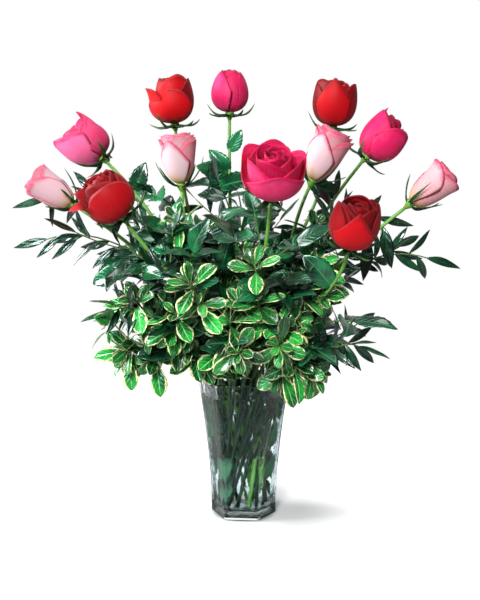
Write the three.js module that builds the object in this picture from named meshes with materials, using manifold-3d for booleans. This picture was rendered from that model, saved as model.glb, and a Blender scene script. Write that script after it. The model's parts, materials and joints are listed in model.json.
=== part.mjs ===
// Twelve long-stemmed roses with greenery in a six-sided glass vase, standing in water.
//
// Units are millimetres, +Z is up and the front is -Y. The origin is the centre of the vase's flat underside.
// Each rose is three pieces: a stem, a calyx (the green hip with its five sepals) and a bloom. Some roses keep a
// compound leaf beside the stem. The greenery is sprays of variegated pittosporum and of ruscus. Every stem and
// twig has its own place in a twisted bundle inside the vase, so none touches another: they lean like the
// straight lines of a hyperboloid, the roses in an inner ring and the greenery in an outer one.

import * as THREE from 'three';
import { mergeVertices } from 'three/addons/utils/BufferGeometryUtils.js';
import Module from 'manifold-3d';

const wasm = await Module();
wasm.setup();

// The vase and its water.
const VASE_HEIGHT = 195;
const FOOT_RADIUS = 45.8;
const RIM_RADIUS = 65.5;
const FLARE_POWER = 1.75;
const FLOOR_THICKNESS = 12;
const WALL_AT_FOOT = 5;
const WALL_AT_RIM = 3;
const PANELS = 6;
const PANEL_STRENGTH_FOOT = 1;
const PANEL_STRENGTH_RIM = 0.55;
const VASE_TURN = -5;
const VASE_SEGMENTS = 36;
const WATER_LEVEL = 172;
const VASE_HEIGHTS = [0, 40, 90, 135, WATER_LEVEL, VASE_HEIGHT];

// Touching pieces keep this gap, and leaves keep the larger one.
const GAP = 0.3;
const LEAF_GAP = 0.45;

// The twisted bundle: where stems cross the mouth, where they stand on the floor, and the turn between. The roses'
// feet crowd to the left and right by some degrees, which leaves a window between them at the front. The greenery
// is cut shorter than the roses, and starts a part of the way up its straight stretch.
const FOOT_LIFT = 2.5;
const ROSE_BUNDLE = { mouth: 38, foot: 24, twist: 105, crowding: 13, start: 0 };
const GREEN_BUNDLE = { mouth: 51, foot: 31, twist: 90, crowding: 0, start: 0.4 };

// A rose's stem and calyx.
const ROSE_STEM_RADIUS = 2.7;
const LEAF_STALK_RADIUS = 1.1;
const HIP_HEIGHT = 11;
const HIP_RADIUS = 6.5;
const SEPALS = 5;
const SEPAL = { length: 27, width: 6.5, thickness: 1.4, fold: 0.2, droop: 0.35 };

// The three kinds of leaf, each a thin folded blade.
const ROSE_LEAFLET = { length: 50, width: 32, thickness: 1.2, fold: 0.25, droop: 0.2 };
const PITTOSPORUM_LEAF = { length: 44, width: 21, thickness: 1.2, fold: 0.2, droop: 0.15 };
const RUSCUS_LEAF = { length: 60, width: 13, thickness: 1.2, fold: 0.25, droop: 0.2 };
const PITTOSPORUM_TWIG_RADIUS = 1.9;
const RUSCUS_TWIG_RADIUS = 1.5;
const ROSE_STEPS = 8;
const PITTOSPORUM_STEPS = 7;
const RUSCUS_STEPS = 9;
const GOLDEN_ANGLE = 137.5;

// The last leaf of a twig starts just inside the twig's end.
const TIP_LEAF = 0.985;

// The roses: the slot is the azimuth at which the stem crosses the mouth, the centre is the middle of the bloom,
// and the bloom opens along its axis.
const ROSES = [
  { colour: 'red', slot: 120, centre: [-103, 70, 591], axis: [-0.08, -0.12, 1], width: 66, height: 70 },
  { colour: 'hot_pink', slot: 90, centre: [-20, 100, 607], axis: [0.02, -0.05, 1], width: 54, height: 64 },
  { colour: 'red', slot: 60, centre: [133, 80, 588], axis: [0.05, -0.18, 1], width: 64, height: 70 },
  { colour: 'hot_pink', slot: 180, centre: [-229, 50, 530], axis: [-0.75, 0.1, 0.72], width: 66, height: 72 },
  { colour: 'pale_pink', slot: 210, centre: [-257, -40, 457], axis: [-0.8, -0.1, 0.55], width: 42, height: 64 },
  { colour: 'red', slot: 240, centre: [-173, -105, 449], axis: [-0.5, -0.35, 0.8], width: 66, height: 66 },
  { colour: 'pale_pink', slot: 150, centre: [-89, 0, 501], axis: [-0.06, -0.1, 1], width: 50, height: 68 },
  { colour: 'hot_pink', slot: -90, centre: [36, -125, 477], axis: [0.05, -0.6, 0.8], width: 76, height: 66 },
  { colour: 'pale_pink', slot: 0, centre: [110, -15, 505], axis: [0.42, -0.12, 0.9], width: 56, height: 74 },
  { colour: 'hot_pink', slot: 30, centre: [201, 60, 536], axis: [0.62, -0.05, 0.76], width: 64, height: 72 },
  { colour: 'red', slot: -60, centre: [137, -130, 415], axis: [0.12, -0.5, 0.85], width: 66, height: 66 },
  { colour: 'pale_pink', slot: -30, centre: [253, -30, 461], axis: [0.78, -0.1, 0.62], width: 44, height: 66 },
];

// Compound rose leaves: which rose's stem carries one, how far along the bend above the mouth, and its tip.
const ROSE_LEAVES = [
  { rose: 1, along: 0.62, tip: [-165, 30, 500] },
  { rose: 2, along: 0.62, tip: [-45, 40, 520] },
  { rose: 4, along: 0.55, tip: [-200, -10, 385] },
  { rose: 8, along: 0.55, tip: [60, -150, 345] },
  { rose: 10, along: 0.6, tip: [155, -20, 430] },
  { rose: 11, along: 0.35, tip: [190, -110, 320] },
];

// The greenery: each spray stands in a slot of the outer bundle, and its last leaf ends at the tip.
const PITTOSPORUM = [
  { slot: 190, tip: [-205, -60, 232] },
  { slot: 167, tip: [-130, -110, 262] },
  { slot: 145, tip: [-120, -10, 345] },
  { slot: 257, tip: [-20, -150, 258] },
  { slot: 280, tip: [70, -135, 262] },
  { slot: 347, tip: [105, -100, 212] },
  { slot: 10, tip: [135, -60, 315] },
  { slot: 55, tip: [90, 150, 290] },
  { slot: 100, tip: [-100, 150, 300] },
];
const RUSCUS = [
  { slot: 122, tip: [-325, -10, 425] },
  { slot: 235, tip: [-320, -60, 372] },
  { slot: 212, tip: [-225, -80, 278] },
  { slot: 32, tip: [312, -10, 345] },
  { slot: 325, tip: [240, -20, 400] },
  { slot: 302, tip: [208, -70, 228] },
  { slot: 77, tip: [-10, 190, 400] },
];

// The colour, roughness and metalness of each finish.
const FINISHES = {
  glass: { color: 0xdde8ea, roughness: 0.05, metalness: 0, transparent: true, opacity: 0.35 },
  water: { color: 0xcfdcdc, roughness: 0.05, metalness: 0, transparent: true, opacity: 0.4 },
  stem: { color: 0x4d7a34, roughness: 0.55, metalness: 0 },
  calyx: { color: 0x3f6b2c, roughness: 0.6, metalness: 0 },
  red: { color: 0xb80f1c, roughness: 0.6, metalness: 0 },
  hot_pink: { color: 0xe01f68, roughness: 0.6, metalness: 0 },
  pale_pink: { color: 0xf0b3bd, roughness: 0.6, metalness: 0 },
  rose_leaf: { color: 0x16402a, roughness: 0.4, metalness: 0 },
  pittosporum: { color: 0x3f9a3c, roughness: 0.35, metalness: 0 },
  ruscus: { color: 0x1f4a2b, roughness: 0.35, metalness: 0 },
};

const rad = THREE.MathUtils.degToRad;
const smoothstep = THREE.MathUtils.smoothstep;
const point = (list) => new THREE.Vector3(...list);
const UP = new THREE.Vector3(0, 0, 1);

// ---------------------------------------------------------------- solids

// A closed geometry as a solid: only positions are kept, shared vertices are merged, flat triangles dropped.
function solid(geometry) {
  const bare = geometry.clone();
  bare.deleteAttribute('normal');
  bare.deleteAttribute('uv');
  const merged = mergeVertices(bare, 1e-3);
  const index = Array.from(merged.index.array);
  const kept = [];
  for (let i = 0; i < index.length; i += 3) {
    const [a, b, c] = index.slice(i, i + 3);
    if (a !== b && b !== c && c !== a) kept.push(a, b, c);
  }
  return new wasm.Manifold(new wasm.Mesh({
    numProp: 3,
    vertProperties: new Float32Array(merged.attributes.position.array),
    triVerts: new Uint32Array(kept),
  }));
}

function geometryOf(body) {
  const mesh = body.getMesh();
  const geometry = new THREE.BufferGeometry();
  geometry.setAttribute('position', new THREE.BufferAttribute(new Float32Array(mesh.vertProperties), 3));
  geometry.setIndex(new THREE.BufferAttribute(new Uint32Array(mesh.triVerts), 1));
  geometry.computeVertexNormals();
  return geometry;
}

// A lathe about +Z from [radius, height] pairs.
function lathe(profile, segments) {
  const points = profile.map(([radius, height]) => new THREE.Vector2(radius, height));
  return new THREE.LatheGeometry(points, segments).rotateX(Math.PI / 2);
}

// Moves every vertex of a geometry by a rule.
function shape(geometry, rule) {
  const position = geometry.attributes.position;
  const vertex = new THREE.Vector3();
  for (let i = 0; i < position.count; i += 1) {
    vertex.fromBufferAttribute(position, i);
    rule(vertex);
    position.setXYZ(i, vertex.x, vertex.y, vertex.z);
  }
  return geometry;
}

// Places a geometry so that its +Z runs along a direction and its +Y face looks as far towards face as it can.
function aim(geometry, base, direction, face) {
  const z = direction.clone().normalize();
  const x = new THREE.Vector3().crossVectors(face, z).normalize();
  const y = new THREE.Vector3().crossVectors(z, x);
  return geometry.applyMatrix4(new THREE.Matrix4().makeBasis(x, y, z).setPosition(base));
}

// ---------------------------------------------------------------- routes of stems and twigs

// A route is straight inside the vase, then one smooth bend that ends at the head or tip. Its first step is
// the straight stretch, and the other steps share the bend.
class Route extends THREE.Curve {
  constructor(foot, bend, steps) {
    super();
    this.foot = foot;
    this.bend = bend;
    this.steps = steps;
  }

  getPoint(t) {
    const step = t * this.steps;
    if (step <= 1) return this.foot.clone().lerp(this.bend.v0, step);
    return this.bend.getPoint((step - 1) / (this.steps - 1));
  }

  getUtoTmapping(u) {
    return u;
  }
}

// A point on the straight pieces that a tube of the given number of steps makes of a curve.
function pointOnTube(curve, steps, at) {
  const step = Math.min(Math.floor(at * steps), steps - 1);
  const start = curve.getPoint(step / steps);
  return start.lerp(curve.getPoint((step + 1) / steps), at * steps - step);
}

// The place of a slot in a bundle at the height of the mouth or of the floor.
function slotPoint(radius, azimuth, height) {
  return new THREE.Vector3(radius * Math.cos(rad(azimuth)), radius * Math.sin(rad(azimuth)), height);
}

// A stem from its slot to end, which it reaches along the direction arrive.
function route(bundle, slot, end, arrive, steps) {
  const standing = slot - bundle.twist;
  const crowded = standing - bundle.crowding * Math.sin(rad(2 * standing));
  const mouth = slotPoint(bundle.mouth, slot, VASE_HEIGHT);
  const foot = slotPoint(bundle.foot, crowded, FLOOR_THICKNESS + FOOT_LIFT).lerp(mouth, bundle.start);
  const reach = 0.36 * mouth.distanceTo(end);
  const leave = mouth.clone().sub(foot).normalize();
  const afterMouth = mouth.clone().addScaledVector(leave, reach);
  const beforeEnd = end.clone().addScaledVector(arrive, -reach);
  return new Route(foot, new THREE.CubicBezierCurve3(mouth, afterMouth, beforeEnd, end), steps);
}

// The space to leave free around the straight foot of a stem: a tube that holds it with a gap all round.
function standingRoom(curve, radius) {
  const sides = 6;
  const foot = curve.foot.clone();
  const down = foot.clone().sub(curve.bend.v0).normalize();
  const line = new THREE.LineCurve3(foot.addScaledVector(down, GAP), curve.bend.v0);
  return solid(tube(line, (radius + GAP) / Math.cos(Math.PI / sides), sides, 1));
}

// A closed tube of the given number of sides along a curve.
function tube(curve, radius, sides, steps) {
  const corners = Array.from({ length: sides }, (_, i) => {
    const angle = (2 * Math.PI * i) / sides;
    return new THREE.Vector2(radius * Math.cos(angle), radius * Math.sin(angle));
  });
  return new THREE.ExtrudeGeometry(new THREE.Shape(corners), { steps, extrudePath: curve, bevelEnabled: false });
}

// ---------------------------------------------------------------- vase and water

// The outer radius at a corner of the vase, at a height.
function vaseRadius(height) {
  return FOOT_RADIUS + (RIM_RADIUS - FOOT_RADIUS) * (height / VASE_HEIGHT) ** FLARE_POWER;
}

function wallAt(height) {
  return THREE.MathUtils.lerp(WALL_AT_FOOT, WALL_AT_RIM, height / VASE_HEIGHT);
}

// Pulls a round vase shape in between its corners, less strongly towards the rim.
function panelled(geometry) {
  const sector = (2 * Math.PI) / PANELS;
  return shape(geometry, (v) => {
    const azimuth = Math.atan2(v.y, v.x) - rad(VASE_TURN);
    const fromFlat = (((azimuth % sector) + sector) % sector) - sector / 2;
    const flat = Math.cos(sector / 2) / Math.cos(fromFlat);
    const strength = THREE.MathUtils.lerp(PANEL_STRENGTH_FOOT, PANEL_STRENGTH_RIM, v.z / VASE_HEIGHT);
    const scale = 1 - strength * (1 - flat);
    v.x *= scale;
    v.y *= scale;
  });
}

function vase() {
  const outside = VASE_HEIGHTS.map((height) => [vaseRadius(height), height]);
  const inside = VASE_HEIGHTS.slice(1).reverse().map((height) => [vaseRadius(height) - wallAt(height), height]);
  const floor = [vaseRadius(FLOOR_THICKNESS) - wallAt(FLOOR_THICKNESS), FLOOR_THICKNESS];
  const profile = [[0, 0], ...outside, ...inside, floor, [0, FLOOR_THICKNESS]];
  const body = lathe(profile, VASE_SEGMENTS).rotateZ(rad(VASE_TURN));
  return solid(panelled(body));
}

// The water fills the inside up to its level, less the room of the stems that stand in it.
function water(rooms) {
  const wetted = [FLOOR_THICKNESS, ...VASE_HEIGHTS.filter((height) => height > 0 && height <= WATER_LEVEL)];
  const side = wetted.map((height) => [vaseRadius(height) - wallAt(height) - 2 * GAP, height]);
  side[0][1] += GAP;
  const profile = [[0, side[0][1]], ...side, [0, WATER_LEVEL]];
  const body = lathe(profile, VASE_SEGMENTS).rotateZ(rad(VASE_TURN));
  return rooms.reduce((left, room) => left.subtract(room), solid(panelled(body)));
}

// ---------------------------------------------------------------- roses

// A thin closed blade along +Z: its width grows and shrinks along its length, it is folded up along its
// midrib and droops towards its tip, away from its +Y face.
function blade(kind, stations) {
  const { length, width, thickness, fold, droop } = kind;
  const profile = stations.map(([share, along]) => [(share * width) / 2, along * length]);
  return shape(lathe([[0, 0], ...profile, [0, length]], 4), (v) => {
    const along = v.z / length;
    v.y = (v.y * thickness) / width + fold * Math.abs(v.x) - droop * length * along * along;
  });
}

const LEAF_OUTLINE = [[0.9, 0.3], [0.85, 0.65]];
const PITTOSPORUM_OUTLINE = [[1, 0.66]];
const SEPAL_OUTLINE = [[1, 0.15]];

// The hip is a small urn with a flat top at the origin, with the sepals spread from under its edge.
function calyx(spread) {
  const hip = [
    [0, -HIP_HEIGHT], [3.2, -HIP_HEIGHT], [HIP_RADIUS, -0.45 * HIP_HEIGHT], [0.85 * HIP_RADIUS, 0], [0, 0],
  ];
  let body = solid(lathe(hip, 6));
  for (let i = 0; i < SEPALS; i += 1) {
    const azimuth = rad((360 * i) / SEPALS);
    const out = new THREE.Vector3(Math.cos(azimuth), Math.sin(azimuth), 0);
    const base = out.clone().multiplyScalar(0.55 * HIP_RADIUS).setZ(-2.2);
    const direction = out.clone().setZ(spread);
    body = body.add(solid(aim(blade(SEPAL, SEPAL_OUTLINE), base, direction, UP)));
  }
  return geometryOf(body);
}

// A bloom stands on the origin and opens upwards: a swelling bud of overlapping petals with a hollow crown.
function bloom(width, height) {
  const profile = [
    [0, 0], [0.22, 0], [0.44, 0.2], [0.5, 0.5], [0.45, 0.97], [0.32, 0.97], [0, 0.88],
  ].map(([radius, along]) => [radius * width, along * height]);
  const petals = 5;
  return shape(lathe(profile, 20), (v) => {
    const along = v.z / height;
    const azimuth = Math.atan2(v.y, v.x);
    const lobe = Math.cos(petals * azimuth + 2 * along);
    const outwards = 1 + 0.05 * lobe * smoothstep(along, 0.2, 1);
    v.x *= outwards;
    v.y *= outwards;
    v.z += 0.03 * height * lobe * smoothstep(along, 0.85, 0.96);
  });
}

// ---------------------------------------------------------------- greenery

// A blade that starts on a twig's tube, leaning out from the twig's own direction.
function leafOn(curve, steps, at, azimuth, lean, kind, outline) {
  const along = curve.getTangent(at);
  const side = new THREE.Vector3().crossVectors(along, UP).normalize();
  const over = new THREE.Vector3().crossVectors(side, along);
  const out = side.multiplyScalar(Math.cos(rad(azimuth))).addScaledVector(over, Math.sin(rad(azimuth)));
  const direction = along.clone().multiplyScalar(Math.cos(rad(lean))).addScaledVector(out, Math.sin(rad(lean)));
  const face = UP.clone().addScaledVector(along, 0.5);
  return solid(aim(blade(kind, outline), pointOnTube(curve, steps, at), direction, face));
}

function boxesMeet(a, b) {
  return [0, 1, 2].every((k) => a.min[k] - LEAF_GAP < b.max[k] && b.min[k] - LEAF_GAP < a.max[k]);
}

function isClear(body, others) {
  const box = body.boundingBox();
  return others.every((other) => !boxesMeet(box, other.box) || body.minGap(other.body, 1) > LEAF_GAP);
}

// The direction in which a spray ends: outwards from the vase and somewhat down.
function outwardsAndDown(end, fall) {
  return new THREE.Vector3(end.x, end.y, 0).normalize().addScaledVector(UP, -fall).normalize();
}

// Pittosporum: leaves crowd into a rosette at the tip and thin out down the twig.
function pittosporum({ slot, tip }) {
  const arrive = outwardsAndDown(point(tip), 0.25);
  const end = point(tip).addScaledVector(arrive, -PITTOSPORUM_LEAF.length);
  const curve = route(GREEN_BUNDLE, slot, end, arrive, PITTOSPORUM_STEPS);
  const leaf = (at, azimuth, lean) => (
    leafOn(curve, PITTOSPORUM_STEPS, at, azimuth, lean, PITTOSPORUM_LEAF, PITTOSPORUM_OUTLINE)
  );
  const leaves = [leaf(TIP_LEAF, 90, 0)];
  const count = 15;
  for (let i = 1; i < count; i += 1) leaves.push(leaf(1 - 0.62 * (i / count) ** 1.6, GOLDEN_ANGLE * i, 62));
  return { curve, radius: PITTOSPORUM_TWIG_RADIUS, steps: PITTOSPORUM_STEPS, leaves };
}

// Ruscus: narrow leaves stand alternately on both sides of a long arching twig.
function ruscus({ slot, tip }) {
  const arrive = outwardsAndDown(point(tip), 0.35);
  const end = point(tip).addScaledVector(arrive, -RUSCUS_LEAF.length);
  const curve = route(GREEN_BUNDLE, slot, end, arrive, RUSCUS_STEPS);
  const leaf = (at, azimuth, lean) => (
    leafOn(curve, RUSCUS_STEPS, at, azimuth, lean, RUSCUS_LEAF, LEAF_OUTLINE)
  );
  const leaves = [leaf(TIP_LEAF, 90, 0)];
  const count = 13;
  for (let i = 1; i < count; i += 1) leaves.push(leaf(1 - 0.7 * (i / count), i % 2 === 0 ? 15 : 165, 48));
  return { curve, radius: RUSCUS_TWIG_RADIUS, steps: RUSCUS_STEPS, leaves };
}

// A compound rose leaf: a stalk from beside the rose's stem, with five leaflets.
function roseLeaf({ along, tip }, stem) {
  const at = (1 + along * (ROSE_STEPS - 1)) / ROSE_STEPS;
  const start = pointOnTube(stem, ROSE_STEPS, at);
  const outwards = point(tip).sub(start).projectOnPlane(stem.getTangent(at)).normalize();
  start.addScaledVector(outwards, ROSE_STEM_RADIUS + LEAF_STALK_RADIUS + GAP);
  const length = start.distanceTo(point(tip)) - ROSE_LEAFLET.length;
  const direction = point(tip).sub(start).normalize();
  const bend = start.clone().addScaledVector(direction, 0.5 * length).addScaledVector(UP, 0.12 * length);
  const finish = start.clone().addScaledVector(direction, length);
  const curve = new THREE.QuadraticBezierCurve3(start, bend, finish);
  const steps = 3;
  const leaflet = (place, azimuth, lean) => (
    leafOn(curve, steps, place, azimuth, lean, ROSE_LEAFLET, LEAF_OUTLINE)
  );
  const pairs = [0.45, 0.85].flatMap((place) => [leaflet(place, 0, 62), leaflet(place, 180, 62)]);
  return { curve, radius: LEAF_STALK_RADIUS, steps, leaves: [leaflet(TIP_LEAF, 90, 0), ...pairs] };
}

// ---------------------------------------------------------------- the whole object

const roses = new THREE.Group();
const pad = (number) => String(number).padStart(2, '0');

function addMesh(name, finish, geometry) {
  const mesh = new THREE.Mesh(geometry, new THREE.MeshStandardMaterial(FINISHES[finish]));
  mesh.name = name;
  roses.add(mesh);
}

// What a leaf has to keep clear of: every piece and every twig, each with its box.
const obstacles = [];

function addObstacle(body) {
  const obstacle = { body, box: body.boundingBox() };
  obstacles.push(obstacle);
  return obstacle;
}

function addSolid(name, finish, body) {
  addMesh(name, finish, geometryOf(body));
  addObstacle(body);
}

const vaseBody = vase();
addSolid('vase', 'glass', vaseBody);

const standingRooms = [];
const stems = ROSES.map((rose, i) => {
  const axis = point(rose.axis).normalize();
  const base = point(rose.centre).addScaledVector(axis, -rose.height / 2);
  const hipTop = base.clone().addScaledVector(axis, -2 * GAP);
  const stemEnd = hipTop.clone().addScaledVector(axis, -HIP_HEIGHT - GAP);
  const curve = route(ROSE_BUNDLE, rose.slot, stemEnd, axis, ROSE_STEPS);
  const face = new THREE.Vector3(0, -1, 0.2);
  const name = `rose_${pad(i + 1)}`;
  addSolid(`${name}_stem`, 'stem', solid(tube(curve, ROSE_STEM_RADIUS, 7, ROSE_STEPS)));
  addSolid(`${name}_calyx`, 'calyx', solid(aim(calyx(-0.35), hipTop, axis, face)));
  addSolid(`${name}_bloom`, rose.colour, solid(aim(bloom(rose.width, rose.height), base, axis, face)));
  standingRooms.push(standingRoom(curve, ROSE_STEM_RADIUS));
  return curve;
});

// All twigs are placed before any leaf, so that a leaf can keep clear of the twigs of later sprays.
const sprays = [
  ...ROSE_LEAVES.map((leaf) => ({
    name: `rose_${pad(leaf.rose)}_leaf`,
    finish: 'rose_leaf',
    ...roseLeaf(leaf, stems[leaf.rose - 1]),
  })),
  ...PITTOSPORUM.map((spray, i) => ({
    name: `pittosporum_${pad(i + 1)}`,
    finish: 'pittosporum',
    ...pittosporum(spray),
  })),
  ...RUSCUS.map((spray, i) => ({
    name: `ruscus_${pad(i + 1)}`,
    finish: 'ruscus',
    ...ruscus(spray),
  })),
];
sprays.forEach((spray) => {
  spray.twig = addObstacle(solid(tube(spray.curve, spray.radius, 5, spray.steps)));
  if (spray.curve instanceof Route) standingRooms.push(standingRoom(spray.curve, spray.radius));
});
sprays.forEach(({ name, finish, twig, leaves }) => {
  const others = obstacles.filter((obstacle) => obstacle !== twig);
  const clearLeaves = leaves.filter((leaf) => isClear(leaf, others));
  addSolid(name, finish, clearLeaves.reduce((whole, leaf) => whole.add(leaf), twig.body));
});

addSolid('water', 'water', water(standingRooms));

export default roses;
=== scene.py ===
"""Twelve long-stemmed roses with pittosporum and ruscus greenery, in a six-sided glass vase with water.

Lengths are metres, +Z is up and the camera looks along +Y. Every stem, bloom and spray stands where its CAD
node stands: its foot, mouth crossing, tip and axis are measured from that node. Each bloom is built petal by
petal, and each spray leaf by leaf.
"""

import json
import random
from collections import namedtuple
from math import atan2, copysign, cos, pi, radians, sin

import bpy
import numpy as np
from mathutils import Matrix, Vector
from mathutils.bvhtree import BVHTree
from numpy.linalg import norm


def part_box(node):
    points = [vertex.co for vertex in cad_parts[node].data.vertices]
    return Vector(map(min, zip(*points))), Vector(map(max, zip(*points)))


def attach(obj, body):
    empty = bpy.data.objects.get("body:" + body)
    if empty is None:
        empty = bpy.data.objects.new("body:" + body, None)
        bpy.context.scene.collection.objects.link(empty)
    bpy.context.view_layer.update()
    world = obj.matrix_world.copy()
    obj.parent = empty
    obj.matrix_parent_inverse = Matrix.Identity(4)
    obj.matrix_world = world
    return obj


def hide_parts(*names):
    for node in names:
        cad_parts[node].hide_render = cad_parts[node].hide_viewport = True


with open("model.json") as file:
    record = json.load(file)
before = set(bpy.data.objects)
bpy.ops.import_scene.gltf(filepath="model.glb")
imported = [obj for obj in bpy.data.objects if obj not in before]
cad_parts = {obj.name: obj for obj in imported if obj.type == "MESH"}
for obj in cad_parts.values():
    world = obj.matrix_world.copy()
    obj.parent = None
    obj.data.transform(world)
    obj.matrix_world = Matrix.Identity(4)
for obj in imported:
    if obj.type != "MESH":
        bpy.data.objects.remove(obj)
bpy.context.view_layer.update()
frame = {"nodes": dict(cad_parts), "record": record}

SLOTS = {part["node"]: part["material_slot"] for part in frame["record"]["subparts"]}

ROSES = 12
PITTOSPORUM_SPRAYS = 9
RUSCUS_SPRAYS = 7
MM = 0.001
GOLDEN_ANGLE = radians(137.5)
UP = np.array([0.0, 0.0, 1.0])
FRONT = np.array([0.0, -1.0, -0.2])

# The twisted bundle of stems, as the CAD model has it: the greenery's rings at the floor and at the mouth, a
# quarter turn apart, how far up its straight line a twig starts, and how far a stem's bend keeps to the
# direction of each end, as a share of its length.
FLOOR_RING = 31 * MM
MOUTH_RING = 51 * MM
TWIG_START = 0.4
TWIG_TURN = atan2((1 - TWIG_START) * FLOOR_RING, TWIG_START * MOUTH_RING)
ROUTE_REACH = 0.36

STEM_RADIUS = 2.7 * MM
HIP_HEIGHT = 11 * MM
HIP_RADIUS = 6.5 * MM

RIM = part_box("vase")[1].z
WATER_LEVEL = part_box("water")[1].z


# ---------------- vectors and meshes

def unit(vector):
    return vector / norm(vector)


def smooth(value, low, high):
    """0 below low, 1 above high, and a smooth step between."""
    share = np.clip((value - low) / (high - low), 0, 1)
    return share * share * (3 - 2 * share)


def bezier(t, *points):
    """A cubic Bezier curve's value at t, for numbers or for points."""
    a, b, c, d = points
    return (1 - t) ** 3 * a + 3 * (1 - t) ** 2 * t * b + 3 * (1 - t) * t * t * c + t ** 3 * d


def axes(direction, face):
    """Three unit vectors: z along the direction, y towards face as far as it can, x across."""
    z = unit(direction)
    x = unit(np.cross(face, z))
    return x, np.cross(z, x), z


def placed(grid, base, direction, face):
    """A grid of points from its own x, y, z axes to where direction and face say."""
    x, y, z = axes(direction, face)
    return base + grid[..., :1] * x + grid[..., 1:2] * y + grid[..., 2:] * z


def new_object(name, data):
    made = bpy.data.objects.new(name, data)
    bpy.context.scene.collection.objects.link(made)
    return made


class Build:
    """Collects the points, faces and per-point values of one mesh."""

    def __init__(self, values=("along", "across", "tone")):
        self.points = []
        self.faces = []
        self.finishes = []
        self.values = {name: [] for name in values}
        self.count = 0

    def add(self, points, faces, finish=0, **values):
        points = np.asarray(points, float).reshape(-1, 3)
        self.points.append(points)
        self.faces.extend([tuple(i + self.count for i in face) for face in faces])
        self.finishes.extend([finish] * len(faces))
        for name, kept in self.values.items():
            kept.append(np.broadcast_to(values.get(name, 0.0), len(points)).astype(float))
        self.count += len(points)

    def piece(self, name, slot, materials, replaces=()):
        """The finished object, which rides on the one body."""
        mesh = bpy.data.meshes.new(name)
        mesh.from_pydata(np.concatenate(self.points).tolist(), [], self.faces)
        for material in materials:
            mesh.materials.append(material)
        mesh.polygons.foreach_set("material_index", self.finishes)
        mesh.polygons.foreach_set("use_smooth", [True] * len(self.faces))
        for value, kept in self.values.items():
            attribute = mesh.attributes.new(value, "FLOAT", "POINT")
            attribute.data.foreach_set("value", np.concatenate(kept).astype(np.float32))
        mesh.update()
        piece = new_object(name, mesh)
        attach(piece, "root")
        if replaces:
            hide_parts(*replaces)
        return piece


def grid_faces(rows, columns, wrap=False):
    """Quads between the rows and columns of a grid, facing its positive side."""
    across = columns if wrap else columns - 1
    return [
        (r * columns + c, r * columns + (c + 1) % columns,
         (r + 1) * columns + (c + 1) % columns, (r + 1) * columns + c)
        for r in range(rows - 1) for c in range(across)
    ]


def skin(build, grid, thickness, finish=0, **values):
    """A closed thin skin: two sheets, one to each side of the grid, that meet at its edge."""
    rows, columns = grid.shape[:2]
    normals = np.cross(np.gradient(grid, axis=1), np.gradient(grid, axis=0))
    length = norm(normals, axis=2, keepdims=True)
    normals /= np.maximum(length, 1e-12)
    inner = np.zeros((rows, columns), bool)
    inner[1:-1, 1:-1] = True
    half = np.where(inner, thickness / 2, 0)[..., None]
    front = (grid + normals * half).reshape(-1, 3)
    back = (grid - normals * half).reshape(-1, 3)[inner.ravel()]
    back_index = np.arange(rows * columns)
    back_index[inner.ravel()] = rows * columns + np.arange(len(back))
    faces = grid_faces(rows, columns)
    faces += [tuple(int(back_index[i]) for i in reversed(face)) for face in faces]
    both = {}
    for name, value in values.items():
        value = np.broadcast_to(value, (rows, columns))
        both[name] = np.concatenate([value.ravel(), value[inner]])
    build.add(np.concatenate([front, back]), faces, finish, **both)


def tube(build, points, radii, sides, finish=0, **values):
    """A closed tube along points, with a radius at each and both ends capped."""
    points = np.asarray(points)
    count = len(points)
    radii = np.broadcast_to(radii, count)
    tangents = np.gradient(points, axis=0)
    side = unit(np.cross(tangents[0], [0.31, 0.22, 0.92]))
    rings = []
    for point, tangent, radius in zip(points, tangents, radii):
        side = unit(side - tangent * np.dot(side, tangent) / np.dot(tangent, tangent))
        other = unit(np.cross(tangent, side))
        turn = np.arange(sides) * 2 * pi / sides
        rings.append(point + radius * (np.outer(np.cos(turn), side) + np.outer(np.sin(turn), other)))
    faces = grid_faces(count, sides, wrap=True)
    first, last = count * sides, count * sides + 1
    for c in range(sides):
        following = (c + 1) % sides
        faces.append((first, following, c))
        faces.append((last, (count - 1) * sides + c, (count - 1) * sides + following))
    ends = {}
    for name, value in values.items():
        along = np.broadcast_to(value, count)
        ends[name] = np.concatenate([np.repeat(along, sides), [along[0], along[-1]]])
    build.add(np.concatenate(rings + [points[:1], points[-1:]]), faces, finish, **ends)


def vertices(node):
    """The places of a CAD node's vertices, one to a row."""
    mesh = frame["nodes"][node].data
    flat = np.empty(3 * len(mesh.vertices), np.float32)
    mesh.vertices.foreach_get("co", flat)
    return flat.reshape(-1, 3).astype(float)


# ---------------- routes of stems and twigs

def route(foot, mouth, end, arrive, count):
    """Points along a stem: straight inside the vase, then one smooth bend to its end."""
    reach = ROUTE_REACH * norm(end - mouth)
    straight = [foot + (mouth - foot) * share for share in np.linspace(0, 1, 8)[:-1]]
    leave = unit(mouth - foot)
    bend = [
        bezier(t, mouth, mouth + leave * reach, end - arrive * reach, end)
        for t in np.linspace(0, 1, count)
    ]
    return np.array(straight), np.array(bend)


def foot_of(points):
    """The middle of a stem's cut end, which is the lowest thing in its node."""
    return points[points[:, 2] < points[:, 2].min() + 6 * MM].mean(axis=0)


def outwards_and_down(tip, fall):
    """The direction in which a spray ends."""
    return unit(unit(tip * [1, 1, 0]) - fall * UP)


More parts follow.
